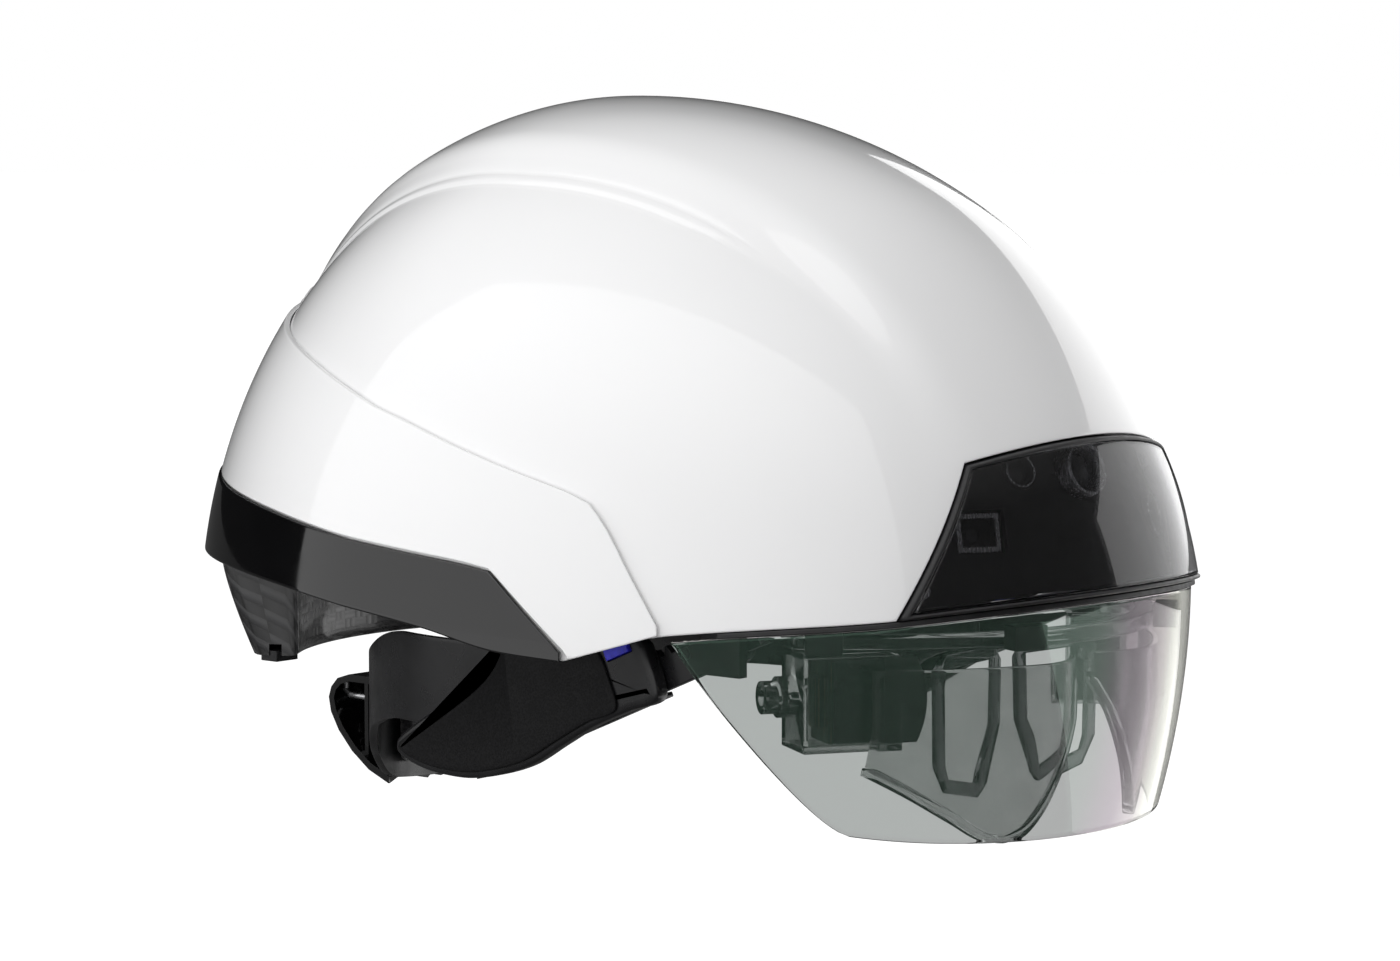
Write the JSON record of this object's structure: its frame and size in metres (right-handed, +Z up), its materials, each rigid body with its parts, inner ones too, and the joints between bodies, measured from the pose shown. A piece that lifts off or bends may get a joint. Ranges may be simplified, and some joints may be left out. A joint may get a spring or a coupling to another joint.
{
  "type": "hard hat with augmented reality visor",
  "caption": "White hard hat with a crest, a smoked sensor window, a clear pull-off visor over display optics, a ratchet headband and a slide-out battery pack.",
  "frame": {"origin": "middle of the head opening, on the shell's base plane, under the crown", "axes": "+Z up through the crown, -Y towards the front of the hat, -X towards the wearer's right"},
  "size_m": [0.2268, 0.2838, 0.1923],
  "materials": {
    "white_shell": "gloss white moulded shell",
    "gloss_black": "gloss black",
    "smoked_window": "smoked, gloss",
    "black_trim": "black",
    "bright_metal": "brushed",
    "foam_liner": "moulded foam",
    "circuit_board": "solder mask",
    "matte_black": "fine matte",
    "webbing": "woven webbing",
    "pad": "padded cloth",
    "clear_visor": "clear, coated",
    "clear_plastic": "grey clear plastic",
    "dark_metal": "satin",
    "black_lens": "polished",
    "satin_black": "satin",
    "matte_grey": "textured",
    "blue_plastic": "gloss blue",
    "carbon": "carbon weave under clear coat",
    "cell_wrap": "shrink wrap"
  },
  "bodies": {
    "helmet": {"upper_shell": "white_shell", "rear_panel": "white_shell", "rear_band": "gloss_black", "rim_trim": "black_trim", "sensor_cover": "smoked_window", "cover_seal": "black_trim", "sensor_bezel": "black_trim", "cover_screws": "bright_metal", "tracking_camera": "bright_metal", "depth_camera": "black_trim", "depth_window": "smoked_window", "side_cameras": "black_trim", "inner_liner": "foam_liner", "main_board": "circuit_board", "battery_dock": "matte_black", "visor_catches": "black_trim", "optics_bar": "clear_plastic", "optics_screws": "clear_plastic", "display_boards": "circuit_board", "combiner_rims": "clear_plastic", "crown_strap_long": "webbing", "crown_straps_cross": "webbing", "strap_clips": "matte_black", "front_headband": "matte_black", "brow_pad": "pad", "arm_brackets": "matte_black", "display_housing_right": "clear_plastic", "display_housing_left": "clear_plastic", "display_engine_right": "dark_metal", "display_engine_left": "dark_metal", "relay_lens_right": "black_lens", "relay_lens_left": "black_lens", "combiner_right": "clear_plastic", "combiner_left": "clear_plastic", "eye_frame_right": "smoked_window", "eye_frame_left": "smoked_window"},
    "visor": {"visor": "clear_visor"},
    "arms": {"ratchet_arm_right": "satin_black", "ratchet_arm_left": "satin_black"},
    "cradle": {"occipital_band": "satin_black", "nape_pad": "pad", "rear_cover": "gloss_black", "rear_screws": "bright_metal", "paddle_right": "satin_black", "paddle_left": "satin_black", "side_panel_right": "matte_grey", "side_panel_left": "matte_grey", "side_pad_right": "pad", "side_pad_left": "pad"},
    "size_knob": {"knob": "matte_black", "pinion": "dark_metal"},
    "rack_right": {"rack_right": "satin_black"},
    "rack_left": {"rack_left": "satin_black"},
    "release_right": {"release_button_right": "blue_plastic"},
    "release_left": {"release_button_left": "blue_plastic"},
    "battery": {"battery_case": "carbon", "battery_cells": "cell_wrap"},
    "latch_right": {"battery_latch_right": "matte_black"},
    "latch_left": {"battery_latch_left": "matte_black"}
  },
  "joints": [
    {"name": "visor_pull", "type": "slide", "parent": "helmet", "child": "visor", "axis": [0, 0, -1], "range_m": [0, 0.09]},
    {"name": "arm_swing", "type": "hinge", "parent": "helmet", "child": "arms", "pos_m": [0, -0.096, 0.0106], "axis": [1, 0, 0], "range_deg": [-12, 0]},
    {"name": "cradle_slide", "type": "slide", "parent": "arms", "child": "cradle", "axis": [0, 0.9205, -0.3907], "range_m": [-0.01, 0.012]},
    {"name": "knob_turn", "type": "hinge", "parent": "cradle", "child": "size_knob", "pos_m": [0, 0.0771, -0.0325], "axis": [0, 1, 0], "range_deg": [-150, 178]},
    {"name": "rack_right_slide", "type": "slide", "parent": "cradle", "child": "rack_right", "axis": [1, 0, 0], "range_m": [-0.0125, 0.0105]},
    {"name": "rack_left_slide", "type": "slide", "parent": "cradle", "child": "rack_left", "axis": [1, 0, 0], "range_m": [-0.0105, 0.0125]},
    {"name": "release_right_press", "type": "slide", "parent": "cradle", "child": "release_right", "axis": [1, 0, 0], "range_m": [0, 0.0012], "stiffness_N_per_m": 300, "springref_m": -0.0005},
    {"name": "release_left_press", "type": "slide", "parent": "cradle", "child": "release_left", "axis": [-1, 0, 0], "range_m": [0, 0.0012], "stiffness_N_per_m": 300, "springref_m": -0.0005},
    {"name": "battery_slide", "type": "slide", "parent": "helmet", "child": "battery", "axis": [0, 1, 0], "range_m": [0, 0.06]},
    {"name": "latch_right_press", "type": "slide", "parent": "battery", "child": "latch_right", "axis": [0, 0, 1], "range_m": [0, 0.0014], "stiffness_N_per_m": 300, "springref_m": -0.0005},
    {"name": "latch_left_press", "type": "slide", "parent": "battery", "child": "latch_left", "axis": [0, 0, 1], "range_m": [0, 0.0014], "stiffness_N_per_m": 300, "springref_m": -0.0005}
  ],
  "couplings": [
    {"joint": "knob_turn", "follows": "cradle_slide", "rad_per_m": 250},
    {"joint": "rack_right_slide", "follows": "cradle_slide", "ratio": -1},
    {"joint": "rack_left_slide", "follows": "cradle_slide", "ratio": 1}
  ]
}
